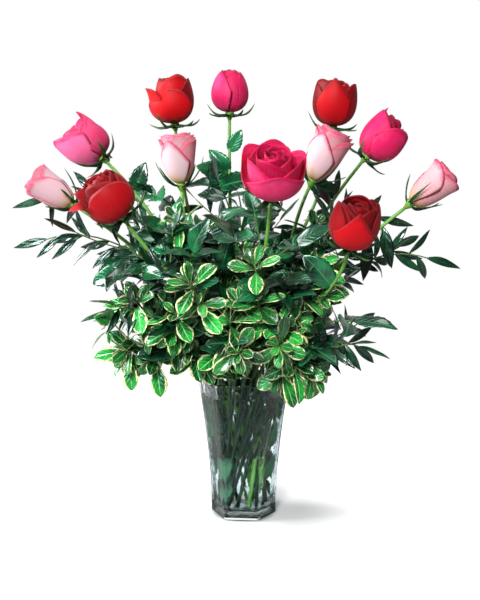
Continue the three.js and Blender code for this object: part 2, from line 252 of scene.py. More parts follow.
def twig_route(node, fall, count):
    """A spray's main twig, in its two stretches. It ends at the vertex whose route meets most vertices."""
    points = vertices(node)
    foot = foot_of(points)
    azimuth = atan2(foot[1], foot[0]) + TWIG_TURN
    mouth = np.array([MOUTH_RING * cos(azimuth), MOUTH_RING * sin(azimuth), RIM])
    above = points[points[:, 2] > RIM]

    def route_to(end):
        return route(foot, mouth, end, outwards_and_down(end, fall), count)

    def met(end):
        gaps = norm(above[:, None] - route_to(end)[1][None], axis=2)
        return (gaps.min(axis=1) < 3.2 * MM).sum()

    return route_to(max(np.unique(above.round(5), axis=0), key=met))


class Rose:
    """Where a rose's bloom, calyx and stem are, measured from its CAD nodes."""

    def __init__(self, number):
        self.name = f"rose_{number:02d}"
        self.seed = number - 1
        bloom = vertices(f"{self.name}_bloom")
        calyx = vertices(f"{self.name}_calyx")
        self.axis = unit(bloom.mean(axis=0) - calyx.mean(axis=0))
        heights = (bloom - calyx.mean(axis=0)) @ self.axis
        self.base = calyx.mean(axis=0) + self.axis * heights.min()
        self.height = heights.max() - heights.min()
        out = bloom - self.base - np.outer((bloom - self.base) @ self.axis, self.axis)
        self.width = 2 * norm(out, axis=1).max()
        stem = vertices(f"{self.name}_stem")
        self.foot = foot_of(stem)
        self.mouth = stem[np.abs(stem[:, 2] - RIM) < 10 * MM].mean(axis=0)
        self.neck = self.base - self.axis * HIP_HEIGHT
        straight, bend = route(self.foot, self.mouth, self.neck, self.axis, 26)
        self.bend = bend
        self.stem = np.concatenate([straight, bend])


roses = [Rose(number) for number in range(1, ROSES + 1)]


# ---------------- materials

class Nodes:
    """Adds nodes to the tree of a material or of the world."""

    def __init__(self, tree, output):
        self.tree = tree
        self.output = tree.nodes[output]

    def feed(self, socket, value):
        """Links the socket to another node's output, or gives it a plain value."""
        if isinstance(value, bpy.types.NodeSocket):
            self.tree.links.new(value, socket)
        else:
            socket.default_value = value

    def node(self, kind, inputs=(), **settings):
        made = self.tree.nodes.new("ShaderNode" + kind)
        for name, value in settings.items():
            setattr(made, name, value)
        for socket, value in dict(inputs).items():
            self.feed(made.inputs[socket], value)
        return made

    def maths(self, operation, a, b=0.0, c=0.0):
        return self.node("Math", {0: a, 1: b, 2: c}, operation=operation).outputs[0]

    def step(self, value, low, high, bottom=0.0, top=1.0):
        """From bottom where the value is low to top where it is high, in a smooth step."""
        inputs = {"Value": value, "From Min": low, "From Max": high, "To Min": bottom, "To Max": top}
        return self.node("MapRange", inputs, interpolation_type="SMOOTHSTEP").outputs["Result"]

    def seen(self):
        """1 for what the camera sees, straight or through the glass, and 0 for what only sends light."""
        path = self.node("LightPath").outputs
        return self.maths("MAXIMUM", path["Is Camera Ray"], path["Is Transmission Ray"])

    def surface(self, factor, first, second):
        """The surface is the first shader where the factor is 0 and the second where it is 1."""
        mixed = self.node("MixShader", {0: factor, 1: first.outputs[0], 2: second.outputs[0]})
        self.feed(self.output.inputs["Surface"], mixed.outputs[0])


class Finish(Nodes):
    """Builds one material around a Principled shader."""

    def __init__(self, name, **constants):
        self.material = bpy.data.materials.new(name)
        self.material.use_nodes = True
        super().__init__(self.material.node_tree, "Material Output")
        self.shader = self.tree.nodes["Principled BSDF"]
        for socket, value in constants.items():
            self.shader.inputs[socket.replace("_", " ")].default_value = value

    def value(self, name):
        """One of the values that the mesh keeps at each point."""
        return self.node("Attribute", attribute_name=name).outputs["Fac"]

    def place(self, axis):
        """The place on the piece along one of its axes."""
        return self.node("SeparateXYZ", {0: self.node("TexCoord").outputs["Object"]}).outputs[axis]

    def noise(self, scale, detail):
        place = self.node("TexCoord").outputs["Object"]
        inputs = {"Vector": place, "Scale": scale, "Detail": detail, "Roughness": 0.55}
        return self.node("TexNoise", inputs).outputs["Fac"]

    def scaled(self, value, factor, plus=0.0):
        """The value times the factor, plus a number or another value."""
        return self.maths("MULTIPLY_ADD", value, factor, plus)

    def blend(self, factor, a, b):
        """From colour a where the factor is 0 to colour b where it is 1."""
        return self.node("Mix", {0: factor, 6: a, 7: b}, data_type="RGBA").outputs[2]

    def colour(self, socket):
        self.feed(self.shader.inputs["Base Color"], socket)

    def rough(self, socket):
        self.feed(self.shader.inputs["Roughness"], socket)

    def relief(self, height, distance):
        bump = self.node("Bump", {"Height": height, "Distance": distance, "Strength": 1.0})
        self.feed(self.shader.inputs["Normal"], bump.outputs["Normal"])


def rgb(red, green, blue):
    """A colour given in the screen's 0 to 255 as the shader's linear values."""
    def linear(value):
        value /= 255
        return value / 12.92 if value <= 0.04045 else ((value + 0.055) / 1.055) ** 2.4
    return (linear(red), linear(green), linear(blue), 1.0)


def petal_finish(name, foot, body, rim, shade, pale, foot_reach):
    """Velvety petal: a foot of another tint, veins that fan out, painted shade on the inner petals, and a rim
    that is pink on pale petals and a painted shade line on red and hot pink ones.
    """
    finish = Finish(name, Sheen_Weight=0.04, Sheen_Roughness=0.5, Subsurface_Weight=0.06,
                    Subsurface_Scale=3 * MM, Subsurface_Radius=(1.0, 0.3, 0.2), Specular_IOR_Level=0.18)
    across = finish.value("across")
    patches = finish.noise(60, 4)
    fan = {"W": finish.scaled(across, 26.0), "Scale": 1.0, "Detail": 3.0}
    veins = finish.node("TexNoise", fan, noise_dimensions="1D").outputs["Fac"]
    uneven = finish.scaled(patches, 0.2, finish.maths("SUBTRACT", finish.value("along"), 0.1))
    paleness = finish.scaled(finish.value("pale"), 1.3, finish.scaled(patches, 0.8, -0.8))
    colour = finish.blend(finish.step(paleness, 0.0, 1.0), body, pale)
    colour = finish.blend(finish.step(uneven, foot_reach, 0.0), colour, foot)
    # The rim colour: a real pink edge on pale petals, and a painted shade line on red and hot pink ones.
    side = finish.maths("SUBTRACT", finish.maths("ABSOLUTE", across), 0.06)
    edge = finish.maths("MAXIMUM", uneven, finish.scaled(patches, 0.1, side))
    colour = finish.blend(finish.step(edge, 0.86, 1.0), colour, rim)
    # Painted shade: a high tone value, on inner petals and darkened rings, and the veins blend towards the
    # shade colour.
    tone = finish.scaled(finish.value("tone"), 0.75, finish.scaled(veins, 0.45))
    colour = finish.blend(finish.step(tone, 0.2, 0.95), colour, shade)
    finish.colour(colour)
    finish.rough(finish.scaled(patches, 0.2, 0.45))
    finish.relief(finish.maths("ADD", veins, patches), 0.06 * MM)
    return finish.material


def leaf_finish(name, dark, light, vein, ribs, roughness, margin=None):
    """Leaf: a pale midrib with side veins, uneven green, and a ragged margin where the kind has one."""
    finish = Finish(name, Specular_IOR_Level=0.5, Coat_Weight=1.0, Coat_Roughness=0.14,
                    Specular_Tint=(0.5, 1.0, 0.85, 1))
    side = finish.maths("ABSOLUTE", finish.value("across"))
    patches = finish.noise(90, 5)
    broad = finish.noise(22, 2)
    colour = finish.blend(finish.step(broad, 0.35, 0.68), dark, light)
    rib_place = finish.scaled(side, -0.32, finish.value("along"))
    wave = finish.maths("SINE", finish.scaled(rib_place, ribs * 2 * pi))
    side_vein = finish.scaled(finish.step(wave, 0.86, 1.0), 0.4)
    midrib = finish.step(side, 0.1, 0.03)
    colour = finish.blend(finish.maths("MAXIMUM", midrib, side_vein), colour, vein)
    if margin:
        ragged = finish.scaled(finish.noise(160, 3), 0.75, side)
        colour = finish.blend(finish.step(ragged, 1.12, 1.22), colour, margin)
    tone = finish.scaled(finish.value("tone"), 1.4, 0.3)
    finish.colour(finish.node("HueSaturation", {"Color": colour, "Value": tone}).outputs["Color"])
    finish.rough(finish.scaled(patches, 0.2, roughness - 0.14))
    height = finish.scaled(wave, -0.35, finish.scaled(midrib, -1.0))
    finish.relief(finish.maths("ADD", height, patches), 0.5 * MM)
    return finish.material


def stem_finish(name, low, high, speck):
    """Stem: darker below, lighter towards the flower and where its tone is high, with small flecks."""
    finish = Finish(name, Specular_IOR_Level=0.45)
    patches = finish.noise(120, 4)
    lightness = finish.scaled(finish.value("tone"), 0.75, finish.value("along"))
    colour = finish.blend(finish.step(lightness, 0.25, 1.0), low, high)
    finish.colour(finish.blend(finish.step(patches, 0.55, 0.8), colour, speck))
    finish.rough(finish.scaled(patches, 0.25, 0.35))
    finish.relief(patches, 0.5 * MM)
    return finish.material


def clear_finish(name, ior, tint, foot_tint_and_shade, shade, ripple, ripple_scale):
    """Glass or water, which bends what is seen and lets some of the light by.
    The glass's foot is darker, partly from its thickness and partly as painted shade.
    """
    finish = Finish(name, Transmission_Weight=1.0, IOR=ior, Roughness=0.0, Specular_Tint=CLEAR_GLOSS)
    height = finish.place("Z")
    # The foot's near-black tint is partly the thick glass and partly painted shade.
    finish.colour(finish.blend(finish.step(height, 6 * MM, 20 * MM), foot_tint_and_shade, tint))
    finish.relief(finish.noise(ripple_scale, 2), ripple)
    through = finish.node("BsdfTransparent", {"Color": shade})
    lamp = finish.node("LightPath").outputs["Is Shadow Ray"]
    finish.surface(lamp, finish.shader, through)
    return finish.material


def painted_light_edge_finish(name, front, painted_shade):
    """The ground lower edge of the foot: a painted highlight along the front panel except where it touches
    the table, and painted shade on the rest.
    """
    finish = Finish(name, Roughness=0.5)
    # Painted highlight along the front panel's edge above the table; painted shade everywhere else on the
    # edge.
    highlight_panel = finish.step(finish.place("Y"), -35.5 * MM, -37 * MM)
    raised = finish.step(finish.place("Z"), 0.9 * MM, 1.4 * MM)
    finish.colour(finish.blend(finish.maths("MULTIPLY", highlight_panel, raised), painted_shade, front))
    return finish.material


# Shade colours are painted shade. Rim colours are painted shade lines on red and hot pink, and real pink on
# pale.
PETALS = {
    "red_petals": petal_finish(
        "red_petals", foot=rgb(90, 2, 8), body=rgb(196, 4, 18), rim=rgb(150, 0, 12),
        shade=rgb(112, 0, 10), pale=rgb(222, 30, 44), foot_reach=0.3,
    ),
    "hot_pink_petals": petal_finish(
        "hot_pink_petals", foot=rgb(200, 60, 100), body=rgb(230, 30, 98), rim=rgb(196, 6, 76),
        shade=rgb(176, 2, 62), pale=rgb(240, 108, 160), foot_reach=0.2,
    ),
    "pale_pink_petals": petal_finish(
        "pale_pink_petals", foot=rgb(226, 184, 110), body=rgb(228, 166, 172), rim=rgb(212, 66, 106),
        shade=rgb(210, 112, 132), pale=rgb(214, 186, 194), foot_reach=0.55,
    ),
}
STEM = stem_finish("rose_stem", rgb(6, 42, 20), rgb(108, 166, 72), rgb(60, 104, 44))
CALYX = stem_finish("calyx", rgb(16, 62, 26), rgb(112, 164, 62), rgb(80, 130, 56))
TWIG = stem_finish("twig", rgb(20, 40, 20), rgb(84, 116, 50), rgb(60, 62, 36))
WET_LEAF = stem_finish("wet_leaf", rgb(2, 20, 16), rgb(24, 96, 52), rgb(16, 60, 46))
ROSE_LEAF = leaf_finish("rose_leaf", rgb(1, 20, 10), rgb(12, 112, 62), rgb(56, 124, 80), 7, 0.36)
RUSCUS_LEAF = leaf_finish("ruscus_leaf", rgb(1, 22, 11), rgb(8, 60, 28), rgb(30, 86, 48), 3, 0.34)
PITTOSPORUM_LEAF = leaf_finish("pittosporum_leaf", rgb(3, 76, 26), rgb(38, 166, 60), rgb(120, 206, 120),
                               6, 0.3, margin=rgb(234, 234, 168))
CLEAR_GLOSS = (0.08, 0.08, 0.09, 1)
# Near-black: partly the thick glass's tint and partly painted shade; on the ground edge it is all painted
# shade.
DARK_FOOT = (0.05, 0.07, 0.06, 1)
WATER_TINT = (0.9, 0.95, 0.93, 1)
GLASS = clear_finish("glass", 1.5, (0.8, 0.86, 0.89, 1), DARK_FOOT, (0.45, 0.48, 0.5, 1), 1.7 * MM, 60)
WATER = clear_finish("water", 1.33, WATER_TINT, WATER_TINT, (0.85, 0.9, 0.88, 1), 0.4 * MM, 20)
# The ground edge of the foot: a painted highlight at the front and painted shade elsewhere.
PAINTED_LIGHT_EDGE = painted_light_edge_finish("ground_edge", (0.9, 0.92, 0.92, 1), DARK_FOOT)


# ---------------- blooms

PETAL_ROWS = 17
PETAL_COLUMNS = 17
PETAL_THICKNESS = 0.6 * MM

# Rings of petals from the heart outwards, evenly spaced. Belly and mouth are shares of the half-width,
# halfway up and at the rim, and top is a share of the height. Curl and ruffle are in mm, and point is 0 for a
# round rim and 1 for a pointed one. A petal reaches spread degrees each way, and the first is turn degrees to
# the left of the bloom's front. A ring's tone value darkens it with painted shade; without one, the inner
# petals, deeper in the bloom, get darker painted shade. Pale is added to the bloom's own.
Ring = namedtuple(
    "Ring", "petals belly mouth top curl point spread ruffle turn tone pale", defaults=(None, 0)
)
HEART = [(4, 0.28, 0.17, 0.9, 0.2, 0.2, 150, 0.4, 20), (4, 0.5, 0.33, 0.94, 0.4, 0.2, 125, 0.4, 70)]
FORMS = {
    "bud": HEART + [
        (3, 0.8, 0.32, 0.97, 0.6, 0.2, 100, 0.3, 10), (3, 0.89, 0.36, 0.96, 0.6, 0.2, 74, 0.3, -38),
        (1, 1, 0.5, 0.93, 1, 0.2, 44, 0.2, -78, 0.45), (1, 1, 0.44, 0.98, 1.2, 0.5, 60, 0.2, 56, 0),
    ],
    "lipped": HEART + [
        (3, 0.74, 0.5, 0.94, 0.6, 0, 100, 0.3, 200), (1, 0.81, 0.6, 1, 1, 0.45, 96, 0.3, -24, 0.1),
        (1, 0.9, 0.74, 0.92, 1, 0.2, 84, 0.4, -88, 0.8), (1, 0.92, 1.06, 0.8, 5, 0.3, 56, 0.5, 70, 0.2),
        (1, 0.98, 0.88, 0.72, 2.5, 0, 70, 0.4, 4, 0),
    ],
    "tented": HEART + [
        (3, 0.8, 0.5, 0.9, 1, 0.4, 96, 0.4, 180), (1, 0.88, 0.74, 1, 1.5, 0.3, 76, 0.5, 50, 0.8),
        (1, 0.97, 0.88, 0.9, 2, 0, 58, 0.5, -76, 0.7), (1, 0.95, 0.78, 0.9, 1.5, 0.2, 62, 0.4, 84, 0.8),
        (1, 1.02, 0.82, 1.01, 0.8, 0.9, 48, 0.4, 8, 0.2),
    ],
    "tipped": [
        (4, 0.28, 0.17, 0.8, 0.2, 0.2, 150, 0.4, 20), (4, 0.5, 0.36, 0.82, 0.4, 0.2, 125, 0.4, 70),
        (3, 0.72, 0.56, 0.84, 1, 0.2, 100, 0.4, 170), (1, 0.82, 0.9, 0.92, 4, 0.1, 54, 0.4, 112, 0.1),
        (1, 0.88, 0.64, 1.06, 1, 1.1, 84, 0.4, -104, 0.3), (1, 0.92, 0.74, 0.7, 2, 0.1, 62, 0.3, -60, 0.5),
        (1, 1, 1, 0.9, 3, 1.1, 84, 0.3, 56, 0, 0.2),
    ],
    "wrapped": HEART + [
        (3, 0.7, 0.5, 0.9, 1, 0.4, 104, 0.4, 170, 1), (1, 0.8, 0.6, 1.05, 0.5, 1.2, 92, 0.4, 88, 0.3),
        (1, 0.87, 0.74, 0.95, 1.5, 0.5, 92, 0.4, 66, 0.2), (1, 0.93, 0.84, 0.82, 1, 0, 66, 0.4, -92, 0.5),
        (1, 1, 0.84, 0.84, 1, 0.3, 64, 0.4, -34, 0),
    ],
    "rolled": HEART + [
        (3, 0.74, 0.54, 0.94, 1.5, 0.3, 100, 0.4, 20, 0.8), (1, 0.84, 0.96, 0.88, 6, 0.6, 60, 0.9, 108, 0.5),
        (1, 0.88, 1.3, 0.78, 9, 0.5, 54, 0.9, 72, 0.3), (1, 0.92, 0.66, 0.88, 1, 0.2, 84, 0.4, -120, 0.6),
        (1, 0.96, 0.78, 0.88, 1.5, 0.3, 70, 0.4, 160, 0.5), (1, 1, 0.8, 0.8, 1.5, 0.1, 68, 0.3, -14, 0.42),
    ],
    "parted": HEART + [
        (3, 0.78, 0.58, 0.96, 1.5, 0.3, 92, 0.4, 180, 0.8), (2, 0.85, 0.62, 0.97, 1, 0.3, 62, 0.4, 66, 0.7),
        (2, 0.93, 0.72, 0.96, 2, 0.3, 62, 0.5, 84, 0.5), (1, 1.01, 0.84, 0.97, 0.3, 1.3, 48, 0.2, 4, 0),
    ],
    "open": [
        (4, 0.2, 0.12, 0.92, 0.3, 0.2, 150, 0.8, 20), (4, 0.36, 0.28, 0.97, 1, 0.3, 122, 1, 70),
        (4, 0.55, 0.5, 0.98, 2.5, 0.6, 104, 1, 30), (3, 0.8, 0.84, 0.96, 5, 0.8, 80, 1, 180, 0.2),
        (3, 0.96, 1.04, 0.88, 6.5, 1.1, 72, 1.2, 0, 0),
    ],
    "slim": [
        (4, 0.3, 0.38, 0.96, 0.5, 0, 150, 0.8, 0), (4, 0.5, 0.62, 0.99, 1, 0, 125, 1, 50),
        (4, 0.68, 0.84, 1, 2, 0.1, 105, 1, 15), (3, 0.85, 1.04, 0.96, 3.5, 0.3, 98, 0.7, 0),
    ],
    "crowned": [
        (5, 0.3, 0.42, 1, 2, 0, 150, 1.4, 0, 0.6), (5, 0.47, 0.66, 1.02, 2, 0, 118, 1.6, 40, 0.5),
        (4, 0.62, 0.86, 0.99, 2.5, 0.1, 100, 1, 70, 0.3), (2, 0.7, 0.93, 0.95, 2, 0, 82, 0.6, 100, 0.3),
        (1, 0.77, 0.96, 0.88, 1, 0.1, 66, 0.4, -62, 0.5, -0.5),
        (1, 0.84, 0.98, 0.9, 1.5, 1.1, 70, 0.4, 22, 0, 0.3),
    ],
}

# Each rose's form, how many degrees it is turned to the viewer's left, and how pale it is.
BLOOMS = [
    ("lipped", 0, 0), ("bud", 0, 0.45), ("tented", 0, 0), ("tipped", 0, 0.75), ("slim", 15, 0.95),
    ("rolled", 0, 0), ("crowned", 0, 0.9), ("open", 0, 0.5), ("crowned", 10, 0.5), ("wrapped", 0, 0.35),
    ("parted", 0, 0), ("slim", -30, 0),
]


def petal(ring, age, angle, width, height, rng):
    """One petal around +Z, with each point's place along and across it; the outermost petal's age is 1."""
    s = np.linspace(-1, 1, PETAL_COLUMNS)[None, :]
    t = np.linspace(0, 1, PETAL_ROWS)[:, None]
    side = np.clip(np.abs(s - rng.uniform(-0.1, 0.1)), 0, 1)
    round_rim = 0.12 * side ** 2 + 0.34 * side ** 5
    pointed_rim = 0.40 * side ** 1.2
    u = t * (1 - round_rim - (pointed_rim - round_rim) * ring.point)
    half = 0.5 * width
    belly = ring.belly * half * rng.uniform(0.985, 1.0)
    mouth = ring.mouth * half * rng.uniform(0.93, 1.05)
    top = ring.top * height * rng.uniform(0.97, 1.0)
    foot = 0.13 * half * (0.4 + 0.6 * age)
    control = (belly - 0.125 * (foot + mouth)) / 0.75
    radius = bezier(u, foot, control, control, mouth)
    rise = bezier(u, 0.0, 0.05 * top, 0.6 * top, top)
    curl = ring.curl * MM * rng.uniform(0.6, 1.3)
    rim_roll = np.clip((u - 0.72) / 0.28, 0, 1) ** 2
    side_roll = side ** 4 * smooth(u, 0.35, 0.8)
    radius = radius + curl * (rim_roll + (0.7 if age == 1 else 0.2) * side_roll)
    rise = rise - 0.75 * curl * rim_roll ** 1.5
    phase = rng.uniform(0, 2 * pi)
    ruffle = ring.ruffle * MM * smooth(u, 0.55, 1.0)
    radius = radius + ruffle * np.sin(6 * s + phase) + 0.3 * MM * np.sin(2.3 * s + 3 * u + phase)
    rise = rise + 0.7 * ruffle * np.sin(8 * s + 2 * phase)
    if ring.petals > 1:
        radius = radius + (0.5 + 0.6 * age) * MM * s
    turn = angle + s * radians(ring.spread) * (0.8 + 0.2 * smooth(u, 0.05, 0.6))
    grid = np.stack([radius * np.cos(turn), radius * np.sin(turn), rise], axis=-1)
    return grid, t, s


def bloom(rose, form, front, pale):
    """The petals around the rose's axis, ring by ring."""
    node = f"{rose.name}_bloom"
    slot = SLOTS[node]
    rng = random.Random(rose.seed)
    build = Build(("along", "across", "tone", "pale"))
    rings = [Ring(*row) for row in FORMS[form]]
    petals = [(ring, i) for ring in rings for i in range(ring.petals)]
    for number, (ring, i) in enumerate(petals):
        age = number / (len(petals) - 1)
        turn = radians(90 - front - ring.turn) + i * 2 * pi / ring.petals
        turn += rng.uniform(-0.12, 0.12)
        grid, along, across = petal(ring, age, turn, rose.width, rose.height, rng)
        world = placed(grid, rose.base, rose.axis, FRONT)
        # Painted shade: inner petals, deeper in the bloom, are darker unless the ring gives its own value.
        tone = 0.7 * (1 - age) + rng.uniform(0, 0.3) if ring.tone is None else ring.tone
        skin(build, world, PETAL_THICKNESS, along=along, across=across, tone=tone, pale=pale + ring.pale)
    build.piece(f"{rose.name}_petals", slot, [PETALS[slot]], [node])


# ---------------- calyx and stem

SEPALS = 5
THORNS = 7


def sepal(build, rose, azimuth, rng, hugging):
    """A narrow pointed sepal that starts on the hip and curls away, or hugs the bud and then curls away."""
    x, y, z = axes(rose.axis, UP + 0.3)
    out = cos(azimuth) * x + sin(azimuth) * y
    length = rng.uniform(36, 46) * MM
    start = rose.base + out * 0.55 * HIP_RADIUS - z * 2.5 * MM
    if hugging:
        reach = 0.5 * rose.width + 4 * MM
        middle = rose.base + out * reach + z * 0.35 * length
        end = rose.base + out * (reach + rng.uniform(0, 10) * MM) + z * rng.uniform(0.5, 0.95) * length
    else:
        middle = rose.base + out * 0.62 * length - z * rng.uniform(5, 11) * MM
        end = rose.base + out * 0.98 * length + z * rng.uniform(-4, 20) * MM
    t = np.linspace(0, 1, 13)
    line = np.array([bezier(k, start, start + out * 0.25 * length, middle, end) for k in t])
    tangent = np.gradient(line, axis=0)
    across = np.tile(unit(np.cross(out, z)), (len(t), 1))
    upward = np.cross(across, tangent)
    upward /= norm(upward, axis=1, keepdims=True)
    widest = (3.2 if hugging else 5.2) * MM
    half = widest * (1 - t) ** 0.6 * (1 + 0.25 * np.sin(9 * t + azimuth))
    s = np.linspace(-1, 1, 5)
    grid = line[:, None] + s[None, :, None] * (across * half[:, None])[:, None]
    grid = grid - 0.8 * (s ** 2)[None, :, None] * (upward * half[:, None])[:, None]
    skin(build, grid, 0.7 * MM, along=(0.2 + 0.3 * t)[:, None])


def calyx(rose, hugging):
    """The swollen hip under the bloom, with its five sepals."""
    rng = random.Random(rose.seed)
    build = Build(("along", "tone"))
    share = np.linspace(0, 1, 12)
    hip = rose.neck[None, :] + np.outer(share, rose.base + rose.axis * 1.2 * MM - rose.neck)
    swell = np.sin(np.clip(share * 1.25, 0, 1) * pi / 2) ** 1.4
    radii = STEM_RADIUS * 1.05 + (HIP_RADIUS - STEM_RADIUS) * swell
    tube(build, hip, radii * (1 - 0.25 * smooth(share, 0.85, 1.0)), 20, along=0.4 + 0.3 * share, tone=0.5)
    x, y, _ = axes(rose.axis, UP + 0.3)
    front = atan2(np.dot(FRONT, y), np.dot(FRONT, x))
    for i in range(SEPALS):
        azimuth = front + (i + 0.5) * 2 * pi / SEPALS + rng.uniform(-0.2, 0.2)
        sepal(build, rose, azimuth, rng, hugging)
    build.piece(f"{rose.name}_hip", "calyx", [CALYX], [f"{rose.name}_calyx"])


def stem(rose):
    """The stem, thicker below, with a few hooked thorns. Every third rose's is lighter."""
    rng = random.Random(rose.seed)
    build = Build(("along", "tone"))
    points = rose.stem
    share = np.linspace(0, 1, len(points))
    radii = STEM_RADIUS * (1.08 - 0.2 * share)
    tone = 1.0 if rose.seed % 3 == 0 else rng.uniform(0, 0.4)
    tube(build, points, radii, 12, along=share, tone=tone)
    for _ in range(THORNS):
        i = rng.randrange(10, len(points) - 6)
        tangent = unit(points[i + 1] - points[i])
        side = unit(np.cross(tangent, [rng.uniform(-1, 1), rng.uniform(-1, 1), 0.3]))
        root = points[i] + side * radii[i] * 0.6
        thorn = [root, root + side * 2.2 * MM, root + side * 4.6 * MM - tangent * 1.8 * MM]
        tube(build, thorn, [1.5 * MM, 0.8 * MM, 0.1 * MM], 7, along=share[i], tone=tone)
    build.piece(f"{rose.name}_cane", "rose_stem", [STEM], [f"{rose.name}_stem"])


# ---------------- leaves

# Each kind's half-width along its length, as a share of the widest.
OUTLINES = {
    "rose": lambda t: np.sin(pi * t ** 0.8) ** 0.8 * (1 - 0.2 * t),
    "ruscus": lambda t: np.sin(pi * t ** 0.9) ** 0.95,
    "pittosporum": lambda t: np.sin(pi * np.clip(t, 0, 1) ** 1.7) ** 0.75 + 0.06 * (1 - t),
}
TEETH = {"rose": 0.05, "ruscus": 0.0, "pittosporum": 0.0}
LEAF_ROWS = 15
LEAF_COLUMNS = 9
LEAF_THICKNESS = 0.5 * MM


def blade(kind, length, width, fold, droop, rng):
    """A leaf along +Z with its upper face to +Y, as a grid with each point's place along and across it."""
    s = np.linspace(-1, 1, LEAF_COLUMNS)[None, :]
    t = np.linspace(0, 1, LEAF_ROWS)[:, None]
    half = OUTLINES[kind](t) * width / 2
    tooth = 1 + TEETH[kind] * np.where(np.arange(LEAF_ROWS) % 2 == 0, -1, 1)[:, None] * (np.abs(s) > 0.99)
    x = s * half * tooth
    lift = fold * np.abs(x) - 0.25 * fold * x * x / (width / 2)
    lift = lift + 0.035 * width * np.sin(2 * pi * (1.6 * t + rng.uniform(0, 1))) * s * s
    bend = droop * t
    y = -length * (1 - np.cos(bend)) / max(abs(droop), 1e-3) * np.sign(droop) + lift * np.cos(bend)
    z = length * np.sin(bend) / droop + lift * np.sin(bend)
    twist = rng.uniform(-0.35, 0.35) * t
    x, y = x * np.cos(twist) - y * np.sin(twist), x * np.sin(twist) + y * np.cos(twist)
    return np.stack([x, y, z], axis=-1), t, s


def tree_of(node):
    """A CAD node's surface, for tests of what runs into it."""
    mesh = frame["nodes"][node].data
    return BVHTree.FromPolygons([v.co for v in mesh.vertices], [p.vertices for p in mesh.polygons])


obstacles = [tree_of("vase")] + [tree_of(f"{rose.name}_bloom") for rose in roses]


def hits_obstacle(grid):
    """True where a leaf would run into a bloom or the vase."""
    leaf = BVHTree.FromPolygons(grid.reshape(-1, 3).tolist(), grid_faces(*grid.shape[:2]))
    return any(leaf.overlap(tree) for tree in obstacles)


def add_leaf(build, kind, base, direction, face, length, width, rng, droop=0.5, finish=1):
    """Adds a leaf to the build, unless it would run into something."""
    droop = droop * rng.uniform(0.4, 1.7)
    grid, along, across = blade(kind, length, width, rng.uniform(0.12, 0.42), droop, rng)
    grid = placed(grid, base, direction, face)
    if hits_obstacle(grid):
        return
    skin(build, grid, LEAF_THICKNESS, finish, along=along, across=across, tone=rng.uniform(0, 1))


def directions(line, index, azimuth):
    """At a point of a twig, the directions along it, to its side, and out from it at an azimuth round it."""
    along = unit(line[index + 1] - line[index])
    side = unit(np.cross(along, UP))
    over = np.cross(side, along)
    return along, side, cos(azimuth) * side + sin(azimuth) * over


def spread_leaf(build, kind, line, at, azimuth, lean, length, width, rng, upward=0.7, droop=0.5):
    """A leaf on a twig, leaning out from it at an azimuth round it, with its face so far upward."""
    index = min(int(at * (len(line) - 1)), len(line) - 2)
    base = line[index] + (line[index + 1] - line[index]) * (at * (len(line) - 1) - index)
    along, side, out = directions(line, index, azimuth)
    direction = cos(lean) * along + sin(lean) * out
    face = upward * UP + 0.3 * along + rng.uniform(0.0, 1.4) * FRONT + rng.uniform(-0.9, 0.9) * side
    if abs(np.dot(unit(direction), unit(face))) > 0.97:
        face = side
    length = length * rng.uniform(0.85, 1.12)
    width = width * rng.uniform(0.88, 1.1)
    add_leaf(build, kind, base, direction, face, length, width, rng, droop)


def rosette(build, line, leaves, rng):
    """Pittosporum leaves crowded at a twig's end, the outer ones longer and flatter."""
    for i in range(leaves):
        age = i / (leaves - 1)
        length = (24 + 24 * age) * MM
        lean = radians(22 + 58 * age)
        at = 1 - 0.1 * age
        spread_leaf(build, "pittosporum", line, at, GOLDEN_ANGLE * i, lean, length, 0.46 * length, rng)


def side_twig(line, at, azimuth, length, rise):
    """The points of a twig that leaves the main one and curves up a little."""
    index = int(at * (len(line) - 1))
    along, _, out = directions(line, index, azimuth)
    direction = unit(0.75 * along + 0.8 * out + rise * UP)
    t = np.linspace(0, 1, 7)[:, None]
    return line[index] + direction * length * t + UP * 0.12 * length * t * t


# The windows without leaves, low in the middle and halfway up each side: left, right, bottom and top in mm.
WINDOWS = [(-24, 24, 0, 78), (10, 44, 70, 145), (-60, -28, 50, 105)]
FRONT_ROW = -12 * MM


def leaves_in_vase(build, straight, shares, rng):
    """Dark leaves that reach out to the glass, where the stretch inside the vase is not in front."""
    for share in shares:
        base = straight[0] + (straight[-1] - straight[0]) * share
        rise = rng.choice((-1, 1)) * rng.uniform(26, 38) * MM
        tip_height = min(max(base[2] + rise, 22 * MM), RIM + 10 * MM)
        azimuth = atan2(base[1], base[0]) + rng.uniform(-0.5, 0.5)
        middle_height = (tip_height + base[2]) / 2
        reach = inside_radius(tip_height, azimuth) - rng.uniform(1.5, 5) * MM
        tip = np.array([reach * cos(azimuth), reach * sin(azimuth), tip_height])
        in_window = any(
            left * MM < tip[0] < right * MM and bottom * MM < middle_height < top * MM
            for left, right, bottom, top in WINDOWS
        )
        if in_window or base[1] < FRONT_ROW:
            continue
        length = norm(tip - base)
        face = FRONT * copysign(1, -base[1]) + 0.4 * unit(base * [1, 1, 0])
        add_leaf(build, "rose", base, tip - base, face, length, 0.5 * length, rng, droop=0.1, finish=2)


def main_twig(build, name, fall, count, foot_radius, tip_radius, rng):
    """A spray's main twig with the leaves inside the vase; the stretch above the vase is handed back."""
    straight, bend = twig_route(name, fall, count)
    line = np.concatenate([straight, bend])
    share = np.linspace(0, 1, len(line))
    tube(build, line, foot_radius + (tip_radius - foot_radius) * share, 8, along=share)
    leaves_in_vase(build, straight, (0.05, 0.12, 0.2, 0.3, 0.5, 0.7, 0.9), rng)
    return bend


